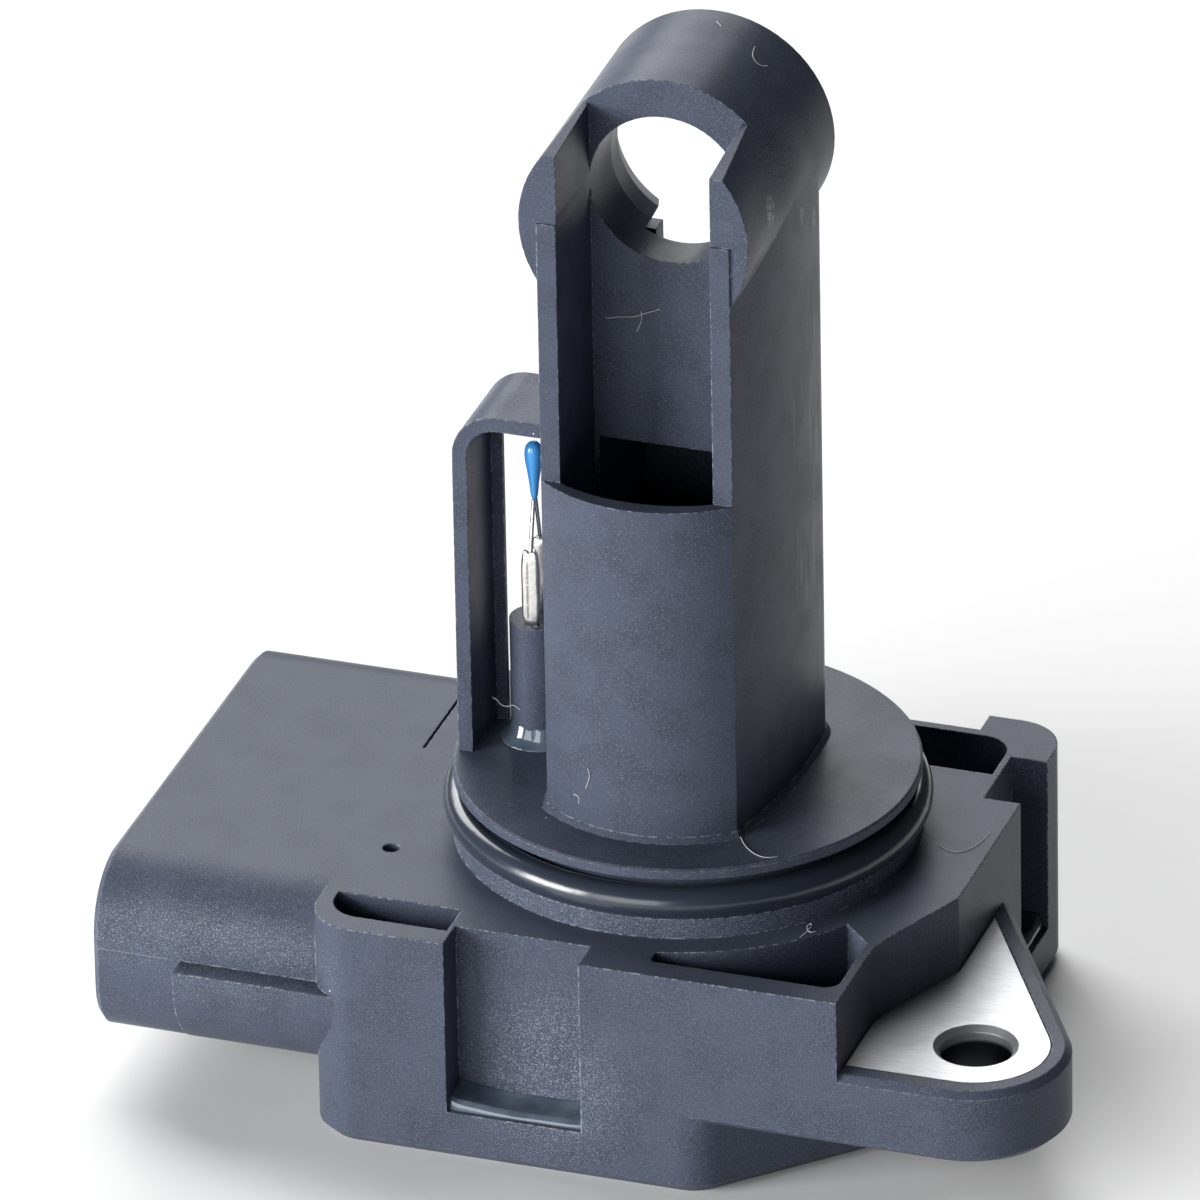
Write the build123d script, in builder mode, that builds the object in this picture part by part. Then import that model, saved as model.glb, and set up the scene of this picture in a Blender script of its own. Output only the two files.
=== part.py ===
from build123d import *

import os
from math import acos, atan2, cos, hypot, radians, sin

os.makedirs("parts", exist_ok=True)

# Frame: millimetres. The origin lies on the probe's axis, level with the housing's top face.
# +Z runs up the probe, and the connector opens towards -X.

# Spigot that plugs into the duct, with the groove for its seal ring
spigot_radius = 13.5
boss_height = 1.25
groove_width = 2.48
rim_thickness = 0.72
seal_radius = 14.1
seal_section = 1.9
seal_sides = 8
stem_radius = 11.6
stem_clearance = 0.05
stem_depth = 2.6
stem_bore = 10.2
web_rise = 1.2
rim_chamfer = 0.12

# Housing block
block_length = 35.0
block_width = 35.0
block_height = 14.15
block_corner = 2.9
block_bottom_chamfer = 0.7
corner_cut = 11.3

# Screw lugs: the seat lies below the top face, and the second lug mirrors the first
seat_step = 4.72
lug_thickness = 4.58
lug_radius = 5.7
lug_offset = 0.25
lug_root = 5.0
lug_edge_angle = 30.0
lug_edge_chamfer = 0.4
screw_reach = 21.05
screw_hole_radius = 2.1
hole_chamfer = 0.35
head_relief_radius = 6.45
relief_end = 3.8

# Metal plates pressed into the lugs, each with a collar that takes the screw's load
plate_rim = 1.4
plate_thickness = 1.5
collar_radius = 3.6
plate_gap = 0.06

# Connector shroud and its socket
shroud_reach = 13.4
shroud_width = 31.7
shroud_height = 11.0
shroud_top_round = 4.2
shroud_bottom_round = 3.5
shroud_end_chamfer = 0.35
ledge_length = 8.0
ledge_inset = 0.2
ledge_bottom_round = 5.4
socket_width = 23.6
socket_height = 6.6
socket_depth = 11.4
socket_centre = 5.5
socket_corner = 1.2
latch_width = 7.0
latch_depth = 1.2
latch_nib_length = 1.6
latch_nib_inset = 2.4
latch_nib_root = 0.2
key_width = 1.2
key_height = 0.8
key_spread = 15.0

# Connector pins, bent down onto the circuit board
pin_count = 5
pin_pitch = 3.2
pin_width = 1.0
pin_thickness = 0.64
pin_recess = 4.9
pin_foot_gap = 0.4
pin_clearance = 0.02
pin_chamfer = 0.15
foot_room = 16.0

# Recesses and pockets of the moulding
recess_ledge = 11.0
front_recess_left = 8.9
front_recess_right = 0.8
front_recess_depth = 2.2
side_recess_near = 7.9
side_recess_far = 13.1
side_recess_depth = 2.2
back_recess_left = 3.4
back_recess_right = 12.6
back_recess_depth = 1.8
pocket_arc_radius = 15.1
front_pocket_wall = 1.6
front_pocket_reach = 14.1
front_pocket_start = 8.6
front_pocket_left = 3.0
front_pocket_bevel = 1.7
front_pocket_depth = 8.6
front_pocket_tip_round = 0.25
front_pocket_end_round = 0.9
back_pocket_wall = 0.6
back_pocket_reach = 14.9
back_pocket_start = 10.75
back_pocket_depth = 6.5
back_pocket_round = 1.8
slot_left = 16.6
slot_right = 9.2
slot_wall = 1.55
slot_width = 2.55
slot_depth = 7.0
slot_big_round = 1.9
slot_small_round = 0.7
slot_back_round = 0.4
vent_x = 15.45
vent_y = 7.7
vent_radius = 0.5
vent_depth = 2.0
slit_x = 17.6
slit_start = 4.15
slit_end = 10.24
slit_width = 0.16
slit_depth = 0.4

# Board chamber, its ledge for the circuit board and the seat for the bottom cover
chamber_side = 25.0
chamber_radius = 14.0
board_chamber_side = 22.0
board_chamber_radius = 11.4
roof_depth = 2.6
board_ledge_depth = 7.8
cover_seat_depth = 12.3
cover_pocket_side = 28.0
cover_pocket_radius = 15.4
cover_thickness = 1.2
cover_gap = 0.8
cover_bead_height = 0.9

# Circuit board and what is soldered to it
board_thickness = 0.8
board_gap = 0.15
chip_side = 7.0
chip_height = 1.0
capacitor_length = 2.0
capacitor_width = 1.25
capacitor_height = 0.9
capacitor_pitch = 3.0
capacitor_count = 4
capacitor_row = 6.4

# Probe column
column_front = 8.17
column_back = 7.0
column_front_half = 5.7
column_bulge_half = 6.85
column_bulge_at = 0.6
column_back_half = 6.52
column_back_round = 2.8
column_foot_skirt = 0.3
column_foot_slope = 40.0
nose_reach = 10.3
nose_wall = 1.0
sill_height = 25.6
chamber_floor = 14.0
core_roof = 11.0
core_half = 4.6
core_front = 7.1
core_back = 5.4

# Inlet trough, partition and outlet
trough_half = 4.55
partition_front = 2.1
partition_back = 0.5
partition_foot = 25.6
outlet_half = 4.3
outlet_wall = 1.05
outlet_sill = 31.5
outlet_shoulder = 36.1
outlet_top_half = 2.2
outlet_top = 37.9
horn_front_top = 46.05
horn_back_top = 46.7
tab_width = 0.95
tab_height = 35.1
tab_depth = 1.3
tab_root = 0.5

# Measuring ring round the bore at the probe's tip
ring_height = 41.85
ring_front_radius = 6.8
ring_back_radius = 7.0
ring_front_inset = 0.15
bore_radius = 4.57
flare_radius = 6.7
flare_steps = ((5.45, 1.0), (3.7, 0.3), (1.7, 0.0))

# Guard hoop of the air thermistor
hoop_reach = 12.85
hoop_top = 26.3
hoop_thickness = 0.87
hoop_front = 3.1
hoop_back = 2.85
hoop_corner = 2.7
hoop_inner_corner = 1.83
hoop_rib_front = 1.15
hoop_rib_width = 0.35
hoop_rib_thickness = 1.55

# Air thermistor in its holder
holder_x = 9.0
holder_radius = 1.6
holder_top = 12.1
holder_clearance = 0.03
holder_boss_radius = 2.5
holder_flange_radius = 1.9
holder_flange_thickness = 0.7
terminal_width = 0.75
terminal_thickness = 0.35
terminal_spread = 0.9
terminal_top = 16.6
bead_radius = 0.55
bead_base_radius = 0.34
bead_cap_radius = 0.34
bead_cap_drop = 0.14
bead_base = 19.8
bead_top = 23.5
lead_radius = 0.12
lead_spread = 0.18

# Heated and reference elements in the bypass
element_pin_side = 0.5
element_span = 4.4
hot_element_y = 3.4
cold_element_y = 6.4
hot_element_height = 19.5
cold_element_height = 21.2
element_radius = 0.38
element_length = 2.2
element_lead_radius = 0.08

# Sealant beads
recess_bead_height = 1.1
recess_bead_width = 1.9
recess_bead_dip = 0.6
side_bead_height = 1.7
holder_bead_radius = 2.35
holder_bead_height = 1.3
holder_bead_lip = 0.2

# Places that several pieces share
half_x = block_length / 2
half_y = block_width / 2
seat_level = -seat_step
lug_foot = -(seat_step + lug_thickness)
spigot_height = boss_height + groove_width + rim_thickness
groove_root = seal_radius - seal_section
screw_x = screw_reach
screw_y = -(half_y - lug_radius)
lug_swap = Plane(origin=(0, 0, 0), x_dir=(1, 1, 0), z_dir=(1, -1, 0))
shroud_end = -half_x - shroud_reach
socket_top = -socket_centre + socket_height / 2
socket_floor = -socket_centre - socket_height / 2
board_top = -board_ledge_depth
cover_top = -cover_seat_depth
pin_foot_x = -board_chamber_side / 2 + pin_foot_gap
ring_axis = Axis((0, 0, ring_height), (0, 1, 0))
element_pin_places = [
    (side * element_span / 2, -depth) for depth in (hot_element_y, cold_element_y) for side in (-1, 1)
]


def rectangle(x_low, x_high, y_low, y_high, mode=Mode.ADD):
    """Rectangle between two corners, in the sketch that is open."""
    with Locations(((x_low + x_high) / 2, (y_low + y_high) / 2)):
        return Rectangle(x_high - x_low, y_high - y_low, mode=mode)


def rounded_square(side, radius):
    """Square with its corners cut to an outer circle, in the sketch that is open."""
    Rectangle(side, side)
    Circle(radius, mode=Mode.INTERSECT)


def lug_profile(inset, offset=0.0):
    """Outline of the front lug, moved inwards from its edge by inset and towards the block by offset."""
    radius = lug_radius - inset
    edge = radians(lug_edge_angle)
    centre_x = screw_x - offset
    edge_x = centre_x + radius * cos(edge)
    edge_y = screw_y + radius * sin(edge)
    wall_x = half_x - lug_root
    wall_y = edge_y + (edge_x - wall_x) * cos(edge) / sin(edge)
    with Locations((centre_x, screw_y)):
        Circle(radius)
    Polygon(
        (wall_x, screw_y - radius),
        (centre_x, screw_y - radius),
        (edge_x, edge_y),
        (wall_x, wall_y),
        align=None,
    )


def relief_profile(gap):
    """Room beside the front screw: a circle round it, run out to the front and to the side wall."""
    radius = head_relief_radius - gap
    end_x = half_x + gap
    end_y = -relief_end
    outside = screw_x + head_relief_radius
    reach = hypot(end_x - screw_x, end_y - screw_y)
    touch = atan2(end_y - screw_y, end_x - screw_x) + acos(radius / reach)
    with Locations((screw_x, screw_y)):
        Circle(radius)
    rectangle(screw_x - radius, outside, -half_y, screw_y)
    rectangle(end_x, outside, -half_y, half_y)
    Polygon(
        (screw_x, screw_y),
        (end_x, end_y),
        (screw_x + radius * cos(touch), screw_y + radius * sin(touch)),
        align=None,
    )


def plate_profile(gap):
    """Outline of the front lug's metal plate: the lug inside its rim, up to the foot of the wall."""
    with BuildSketch(mode=Mode.PRIVATE) as room:
        relief_profile(gap)
    lug_profile(plate_rim + gap)
    add(room.sketch, mode=Mode.INTERSECT)


def column_profile():
    """Plan of the probe column: flat front, gently bowed sides and rounded back corners."""
    front_right = (column_front_half, -column_front)
    front_left = (-column_front_half, -column_front)
    back_right = (column_back_half, column_back)
    back_left = (-column_back_half, column_back)
    with BuildLine() as outline:
        Line(front_left, front_right)
        ThreePointArc(front_right, (column_bulge_half, -column_bulge_at), back_right)
        Line(back_right, back_left)
        ThreePointArc(back_left, (-column_bulge_half, -column_bulge_at), front_left)
    plan = make_face(outline.edges())
    fillet(plan.vertices().group_by(Axis.Y)[-1], radius=column_back_round)


def nose_profile(half, reach):
    """Curved front below the inlet, with the straight part behind it as far as the partition."""
    with BuildLine() as outline:
        ThreePointArc((half, -column_front), (0, -reach), (-half, -column_front))
        Polyline(
            (-half, -column_front),
            (-half, -partition_front),
            (half, -partition_front),
            (half, -column_front),
        )
    make_face(outline.edges())


def hoop_profile(thickness):
    """Side view of the guard hoop: down from the disc's rim, round a corner and into the column."""
    root = -column_front_half
    with BuildLine() as outline:
        outer = FilletPolyline(
            (-hoop_reach, spigot_height), (-hoop_reach, hoop_top), (root, hoop_top), radius=hoop_corner
        )
        inner = FilletPolyline(
            (-hoop_reach + thickness, spigot_height),
            (-hoop_reach + thickness, hoop_top - thickness),
            (root, hoop_top - thickness),
            radius=hoop_inner_corner,
        )
        Line(outer @ 0, inner @ 0)
        Line(outer @ 1, inner @ 1)
    make_face(outline.edges())


# Housing: one moulding with the connector shroud, both lugs and the spigot's boss
with BuildPart() as housing:
    # Lower block, with two of its corners cut off square to the diagonal
    with BuildSketch(Plane.XY.offset(-block_height)) as lower_plan:
        Polygon(
            (-half_x, -half_y),
            (half_x - corner_cut, -half_y),
            (half_x, -half_y + corner_cut),
            (half_x, half_y),
            (-half_x + corner_cut, half_y),
            (-half_x, half_y - corner_cut),
            align=None,
        )
        fillet(lower_plan.vertices(), radius=block_corner)
    extrude(amount=block_height + lug_foot)
    # Middle slab, where the lugs reach out
    with BuildSketch(Plane.XY.offset(lug_foot)) as middle_plan:
        Rectangle(block_length, block_width)
        square_corners = middle_plan.vertices().sort_by(lambda corner: corner.X * corner.Y)
        fillet(square_corners[2:], radius=block_corner)
        with BuildSketch(mode=Mode.PRIVATE) as lug_plan:
            lug_profile(0, lug_offset)
        add(lug_plan.sketch)
        add(mirror(lug_plan.sketch, about=lug_swap, mode=Mode.PRIVATE))
    extrude(amount=lug_thickness)
    # Upper block, hollowed beside each screw
    with BuildSketch(Plane.XY.offset(seat_level)) as upper_plan:
        Rectangle(block_length, block_width)
        square_corners = upper_plan.vertices().sort_by(lambda corner: corner.X * corner.Y)
        fillet(square_corners[2:], radius=block_corner)
        with BuildSketch(mode=Mode.PRIVATE) as relief_plan:
            relief_profile(0)
        add(relief_plan.sketch, mode=Mode.SUBTRACT)
        add(mirror(relief_plan.sketch, about=lug_swap, mode=Mode.PRIVATE), mode=Mode.SUBTRACT)
    extrude(amount=seat_step)
    chamfer(housing.faces().sort_by(Axis.Z)[0].edges(), length=block_bottom_chamfer)
    # Outer edges of the lugs, above and below
    lug_rims = housing.edges().filter_by(
        lambda edge: min(abs(edge.center().Z - seat_level), abs(edge.center().Z - lug_foot)) < 0.01
        and (
            max(edge.center().X, edge.center().Y) > half_x + 0.1
            or min(edge.center().X, edge.center().Y) < -half_x + 0.05
        )
    )
    chamfer(lug_rims, length=lug_edge_chamfer)
    # Connector shroud and the ledge along its sides
    with BuildSketch(Plane.YZ.offset(-half_x)) as shroud_section:
        rectangle(-shroud_width / 2, shroud_width / 2, -shroud_height, 0)
        fillet(shroud_section.vertices().group_by(Axis.Y)[-1], radius=shroud_top_round)
        fillet(shroud_section.vertices().group_by(Axis.Y)[0], radius=shroud_bottom_round)
    extrude(amount=-shroud_reach)
    chamfer(housing.faces().sort_by(Axis.X)[0].edges(), length=shroud_end_chamfer)
    with BuildSketch(Plane.YZ.offset(-half_x)) as ledge_section:
        rectangle(-half_y + ledge_inset, half_y - ledge_inset, -shroud_height, seat_level)
        fillet(ledge_section.vertices().group_by(Axis.Y)[0], radius=ledge_bottom_round)
    extrude(amount=-ledge_length)
    # Root of the shroud inside the block's rounded corners
    with BuildSketch(Plane.YZ.offset(-half_x)):
        add(shroud_section.sketch_local)
        add(ledge_section.sketch_local)
    extrude(amount=block_corner)
    with BuildSketch(Plane.XY.offset(seat_level)):
        add(mirror(relief_plan.sketch, about=lug_swap, mode=Mode.PRIVATE))
    extrude(amount=seat_step, mode=Mode.SUBTRACT)
    # Seats for the metal plates and the passages for their collars
    with BuildSketch(Plane.XY.offset(seat_level)):
        with BuildSketch(mode=Mode.PRIVATE) as plate_seat:
            plate_profile(0)
        add(plate_seat.sketch)
        add(mirror(plate_seat.sketch, about=lug_swap, mode=Mode.PRIVATE))
    extrude(amount=-plate_thickness, mode=Mode.SUBTRACT)
    with BuildSketch(Plane.XY.offset(seat_level)):
        with Locations((screw_x, screw_y), (screw_y, screw_x)):
            Circle(collar_radius + plate_gap)
    extrude(amount=-lug_thickness, mode=Mode.SUBTRACT)
    # Boss under the seal groove
    with BuildSketch(Plane.XY):
        Circle(spigot_radius)
    extrude(amount=boss_height)
    # Socket, with a latch channel below, its nib and two keys above
    with BuildSketch(Plane.YZ.offset(shroud_end)) as socket_section:
        with Locations((0, -socket_centre)):
            Rectangle(socket_width, socket_height)
        fillet(socket_section.vertices(), radius=socket_corner)
        rectangle(-latch_width / 2, latch_width / 2, socket_floor - latch_depth, -socket_centre)
        for side in (-1, 1):
            key_left = side * key_spread / 2 - key_width / 2
            rectangle(key_left, key_left + key_width, socket_top - key_height, socket_top, mode=Mode.SUBTRACT)
    extrude(amount=socket_depth, mode=Mode.SUBTRACT)
    nib_start = shroud_end + latch_nib_inset
    nib_floor = socket_floor - latch_depth
    with BuildSketch(Plane.XZ.offset(-latch_width / 4)) as nib_section:
        Polygon(
            (nib_start, nib_floor - latch_nib_root),
            (nib_start + latch_nib_length, nib_floor - latch_nib_root),
            (nib_start + latch_nib_length, nib_floor + latch_depth),
            (nib_start, nib_floor),
            align=None,
        )
    extrude(amount=latch_width / 2)
    # Recesses in the front, the right side and the back, each with a ledge near its foot
    with BuildSketch(Plane.XY.offset(-recess_ledge)):
        rectangle(-front_recess_left, -front_recess_right, -half_y, -half_y + front_recess_depth)
        rectangle(half_x - side_recess_depth, half_x, side_recess_near, side_recess_far)
        rectangle(back_recess_left, back_recess_right, half_y - back_recess_depth, half_y)
    extrude(amount=recess_ledge, mode=Mode.SUBTRACT)
    # Front pocket beside the spigot
    with BuildSketch(Plane.XY) as front_pocket:
        pocket_front = -half_y + front_pocket_wall
        Polygon(
            (front_pocket_left, pocket_front),
            (front_pocket_reach, pocket_front),
            (front_pocket_reach, -front_pocket_start - front_pocket_bevel),
            (front_pocket_reach - front_pocket_bevel, -front_pocket_start),
            (front_pocket_left, -front_pocket_start),
            align=None,
        )
        Circle(pocket_arc_radius, mode=Mode.SUBTRACT)
        fillet(front_pocket.vertices().group_by(Axis.X)[0], radius=front_pocket_tip_round)
        end_corner = front_pocket.vertices().sort_by(lambda corner: corner.X - corner.Y)[-1]
        fillet(end_corner, radius=front_pocket_end_round)
    extrude(amount=-front_pocket_depth, mode=Mode.SUBTRACT)
    # Back pocket
    with BuildSketch(Plane.XY) as back_pocket:
        pocket_back = half_y - back_recess_depth - back_pocket_wall
        rectangle(0, back_pocket_reach, back_pocket_start, pocket_back)
        Circle(pocket_arc_radius, mode=Mode.SUBTRACT)
        end_corner = back_pocket.vertices().sort_by(lambda corner: corner.X + corner.Y)[-1]
        fillet(end_corner, radius=back_pocket_round)
    extrude(amount=-back_pocket_depth, mode=Mode.SUBTRACT)
    # Slot near the front left corner
    with BuildSketch(Plane.XY) as slot_plan:
        slot_front = -half_y + slot_wall
        rectangle(-slot_left, -slot_right, slot_front, slot_front + slot_width)
        left_corners = slot_plan.vertices().group_by(Axis.X)[0].sort_by(Axis.Y)
        right_corners = slot_plan.vertices().group_by(Axis.X)[-1]
        fillet(left_corners[0], radius=slot_big_round)
        fillet(left_corners[-1], radius=slot_back_round)
        fillet(right_corners, radius=slot_small_round)
    extrude(amount=-slot_depth, mode=Mode.SUBTRACT)
    # Vent hole and the fine slit in the top face
    with BuildSketch(Plane.XY):
        with Locations((-vent_x, -vent_y)):
            Circle(vent_radius)
    extrude(amount=-vent_depth, mode=Mode.SUBTRACT)
    with BuildSketch(Plane.XY):
        rectangle(-slit_x - slit_width / 2, -slit_x + slit_width / 2, slit_start, slit_end)
    extrude(amount=-slit_depth, mode=Mode.SUBTRACT)
    # Board chamber from below: cover seat, chamber, and the narrower part above the board
    with BuildSketch(Plane.XY.offset(-block_height)):
        rounded_square(cover_pocket_side, cover_pocket_radius)
    extrude(amount=block_height - cover_seat_depth, mode=Mode.SUBTRACT)
    with BuildSketch(Plane.XY.offset(-cover_seat_depth)):
        rounded_square(chamber_side, chamber_radius)
    extrude(amount=cover_seat_depth - board_ledge_depth, mode=Mode.SUBTRACT)
    with BuildSketch(Plane.XY.offset(-board_ledge_depth)):
        rounded_square(board_chamber_side, board_chamber_radius)
        rectangle(-board_chamber_side / 2, 0, -foot_room / 2, foot_room / 2)
    extrude(amount=board_ledge_depth - roof_depth, mode=Mode.SUBTRACT)
    with BuildSketch(Plane.YZ.offset(shroud_end + socket_depth)):
        with Locations((0, -socket_centre)):
            with GridLocations(pin_pitch, 0, pin_count, 1):
                Rectangle(pin_width + 2 * pin_clearance, pin_thickness + 2 * pin_clearance)
    extrude(amount=-shroud_end - socket_depth - board_chamber_side / 2, mode=Mode.SUBTRACT)
    with BuildSketch(Plane.XY.offset(-roof_depth)):
        Circle(stem_radius + stem_clearance)
    extrude(amount=roof_depth + boss_height, mode=Mode.SUBTRACT)

housing.part.label = "housing"
export_step(housing.part, "parts/housing.step")

# Bypass probe: stem, groove core, disc, column with its channels, ring and hoop in one moulding
with BuildPart() as bypass_probe:
    with BuildSketch(Plane.XY.offset(-stem_depth)):
        Circle(stem_radius)
    extrude(amount=stem_depth + boss_height)
    with BuildSketch(Plane.XY.offset(boss_height)):
        Circle(groove_root)
    extrude(amount=groove_width)
    with BuildSketch(Plane.XY.offset(boss_height + groove_width)):
        Circle(spigot_radius)
    extrude(amount=rim_thickness)
    rim_edges = bypass_probe.edges().filter_by(GeomType.CIRCLE).group_by(SortBy.RADIUS)[-1]
    chamfer(rim_edges, length=rim_chamfer)
    # Column, with the curved nose below its inlet
    with BuildSketch(Plane.XY.offset(spigot_height)):
        column_profile()
    extrude(amount=ring_height - spigot_height)
    with BuildSketch(Plane.XY.offset(spigot_height)):
        nose_profile(column_front_half, nose_reach)
    extrude(amount=sill_height - spigot_height)
    with BuildSketch(Plane.XY.offset(spigot_height)):
        column_profile()
        nose_profile(column_front_half, nose_reach)
        offset(amount=column_foot_skirt)
    extrude(amount=column_foot_skirt, taper=column_foot_slope)
    # Measuring ring, widening towards the back
    ring_front = -column_front + ring_front_inset
    with BuildSketch(Plane.YZ):
        Polygon(
            (ring_front, ring_height),
            (column_back, ring_height),
            (column_back, ring_height + ring_back_radius),
            (ring_front, ring_height + ring_front_radius),
            align=None,
        )
    revolve(axis=ring_axis)
    # Above the horns the ring's face is set back
    with BuildSketch(Plane.YZ.offset(-ring_back_radius)):
        Polygon(
            (-column_front, horn_front_top),
            (-partition_front, horn_back_top),
            (-partition_front, ring_height + 2 * ring_back_radius),
            (-column_front, ring_height + 2 * ring_back_radius),
            align=None,
        )
    extrude(amount=2 * ring_back_radius, mode=Mode.SUBTRACT)
    # Bore and its bell mouth at the back
    with BuildSketch(Plane.YZ):
        Polygon(
            (-column_front, ring_height),
            (column_back, ring_height),
            (column_back, ring_height + flare_radius),
            *[(depth, ring_height + bore_radius + rise) for depth, rise in flare_steps],
            (-column_front, ring_height + bore_radius),
            align=None,
        )
    revolve(axis=ring_axis, mode=Mode.SUBTRACT)
    # Inlet trough, open to the front above the sill
    with BuildSketch(Plane.XY.offset(sill_height)):
        rectangle(-trough_half, trough_half, -nose_reach, -partition_front)
    extrude(amount=horn_back_top - sill_height, mode=Mode.SUBTRACT)
    with BuildSketch(Plane.XY.offset(chamber_floor)):
        nose_profile(trough_half, nose_reach - nose_wall)
    extrude(amount=sill_height - chamber_floor, mode=Mode.SUBTRACT)
    # Chamber below the partition, and the outlet channel behind it
    outlet_inside = column_back - outlet_wall
    with BuildSketch(Plane.XY.offset(chamber_floor)):
        rectangle(-outlet_half, outlet_half, -partition_front, outlet_inside)
    extrude(amount=partition_foot - chamber_floor, mode=Mode.SUBTRACT)
    with BuildSketch(Plane.XY.offset(chamber_floor)):
        rectangle(-outlet_half, outlet_half, partition_back, outlet_inside)
    extrude(amount=outlet_shoulder - chamber_floor, mode=Mode.SUBTRACT)
    # Outlet window at the back, narrowing into the bell mouth, with a tab beside its left jamb
    with BuildSketch(Plane.XZ.offset(-partition_back)):
        Polygon(
            (-outlet_half, outlet_sill),
            (outlet_half, outlet_sill),
            (outlet_half, outlet_shoulder),
            (outlet_top_half, outlet_top),
            (-outlet_top_half, outlet_top),
            (-outlet_half, outlet_shoulder),
            align=None,
        )
    extrude(amount=-column_back, mode=Mode.SUBTRACT)
    with BuildSketch(Plane.XY.offset(outlet_sill)):
        rectangle(
            -outlet_half - tab_root, -outlet_half + tab_width, column_back - tab_depth, column_back
        )
    extrude(amount=tab_height - outlet_sill)
    # Guard hoop over the thermistor, with a thin rib along its inside
    for near, far, thickness in (
        (-hoop_front, hoop_back, hoop_thickness),
        (hoop_rib_front, hoop_rib_front + hoop_rib_width, hoop_rib_thickness),
    ):
        with BuildSketch(Plane.XZ.offset(-far)):
            hoop_profile(thickness)
        extrude(amount=far - near)
    # Hollow stem and column, with a post for the thermistor's holder left standing
    with BuildSketch(Plane.XY.offset(-stem_depth)):
        Circle(stem_bore)
        with Locations((-holder_x, 0)):
            Circle(holder_boss_radius, mode=Mode.SUBTRACT)
    extrude(amount=stem_depth + boss_height + web_rise, mode=Mode.SUBTRACT)
    with BuildSketch(Plane.XY.offset(-stem_depth)):
        rectangle(-core_half, core_half, -core_front, core_back)
    extrude(amount=stem_depth + core_roof, mode=Mode.SUBTRACT)
    with BuildSketch(Plane.XY.offset(-stem_depth)):
        with Locations((-holder_x, 0)):
            Circle(holder_radius + holder_clearance)
    extrude(amount=stem_depth + spigot_height, mode=Mode.SUBTRACT)
    with BuildSketch(Plane.XY.offset(core_roof)):
        with Locations(*element_pin_places):
            Rectangle(element_pin_side + 2 * pin_clearance, element_pin_side + 2 * pin_clearance)
    extrude(amount=chamber_floor - core_roof, mode=Mode.SUBTRACT)

bypass_probe.part.label = "bypass_probe"
export_step(bypass_probe.part, "parts/bypass_probe.step")

# Seal ring resting on the boss, round the groove's root
with BuildPart() as seal_ring:
    with BuildSketch(Plane.XZ):
        with Locations((seal_radius - seal_section / 2, boss_height + seal_section / 2)):
            RegularPolygon(seal_section / 2, seal_sides)
    revolve(axis=Axis.Z)

seal_ring.part.label = "seal_ring"
export_step(seal_ring.part, "parts/seal_ring.step")

# Metal plate of the front lug: its collar runs down to the lug's underside
with BuildPart() as front_lug_plate:
    with BuildSketch(Plane.XY.offset(seat_level - plate_thickness)):
        plate_profile(plate_gap)
    extrude(amount=plate_thickness)
    with BuildSketch(Plane.XY.offset(lug_foot)):
        with Locations((screw_x, screw_y)):
            Circle(collar_radius)
    extrude(amount=lug_thickness)
    with Locations((screw_x, screw_y, seat_level)):
        Hole(screw_hole_radius)
    rim = front_lug_plate.edges().filter_by(GeomType.CIRCLE).filter_by(
        lambda edge: abs(edge.radius - screw_hole_radius) < 0.01
    )
    chamfer(rim.sort_by(Axis.Z)[-1], length=hole_chamfer)

front_lug_plate.part.label = "front_lug_plate"
export_step(front_lug_plate.part, "parts/front_lug_plate.step")

# Metal plate of the rear lug, its mirror image
with BuildPart() as rear_lug_plate:
    add(mirror(front_lug_plate.part, about=lug_swap, mode=Mode.PRIVATE))

rear_lug_plate.part.label = "rear_lug_plate"
export_step(rear_lug_plate.part, "parts/rear_lug_plate.step")

# Bottom cover against its seat, and the sealant round it
with BuildPart() as bottom_cover:
    with BuildSketch(Plane.XY.offset(cover_top - cover_thickness)):
        rounded_square(cover_pocket_side - 2 * cover_gap, cover_pocket_radius - cover_gap)
    extrude(amount=cover_thickness)

bottom_cover.part.label = "bottom_cover"
export_step(bottom_cover.part, "parts/bottom_cover.step")

with BuildPart() as cover_sealant:
    with BuildSketch(Plane.XY.offset(cover_top - cover_bead_height)):
        rounded_square(cover_pocket_side, cover_pocket_radius)
        with BuildSketch(mode=Mode.PRIVATE) as cover_plan:
            rounded_square(cover_pocket_side - 2 * cover_gap, cover_pocket_radius - cover_gap)
        add(cover_plan.sketch, mode=Mode.SUBTRACT)
    extrude(amount=cover_bead_height)

cover_sealant.part.label = "cover_sealant"
export_step(cover_sealant.part, "parts/cover_sealant.step")

# Circuit board against its ledge, with its parts underneath
with BuildPart() as circuit_board:
    with BuildSketch(Plane.XY.offset(board_top - board_thickness)):
        rounded_square(chamber_side - 2 * board_gap, chamber_radius - board_gap)
    extrude(amount=board_thickness)

circuit_board.part.label = "circuit_board"
export_step(circuit_board.part, "parts/circuit_board.step")

board_foot = board_top - board_thickness

with BuildPart() as control_chip:
    with BuildSketch(Plane.XY.offset(board_foot - chip_height)):
        Rectangle(chip_side, chip_side)
    extrude(amount=chip_height)

control_chip.part.label = "control_chip"
export_step(control_chip.part, "parts/control_chip.step")

for number in range(capacitor_count):
    with BuildPart() as capacitor:
        with BuildSketch(Plane.XY.offset(board_foot - capacitor_height)):
            with Locations(((number - (capacitor_count - 1) / 2) * capacitor_pitch, capacitor_row)):
                Rectangle(capacitor_width, capacitor_length)
        extrude(amount=capacitor_height)
    capacitor.part.label = f"capacitor_{number + 1}"
    export_step(capacitor.part, f"parts/capacitor_{number + 1}.step")

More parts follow.
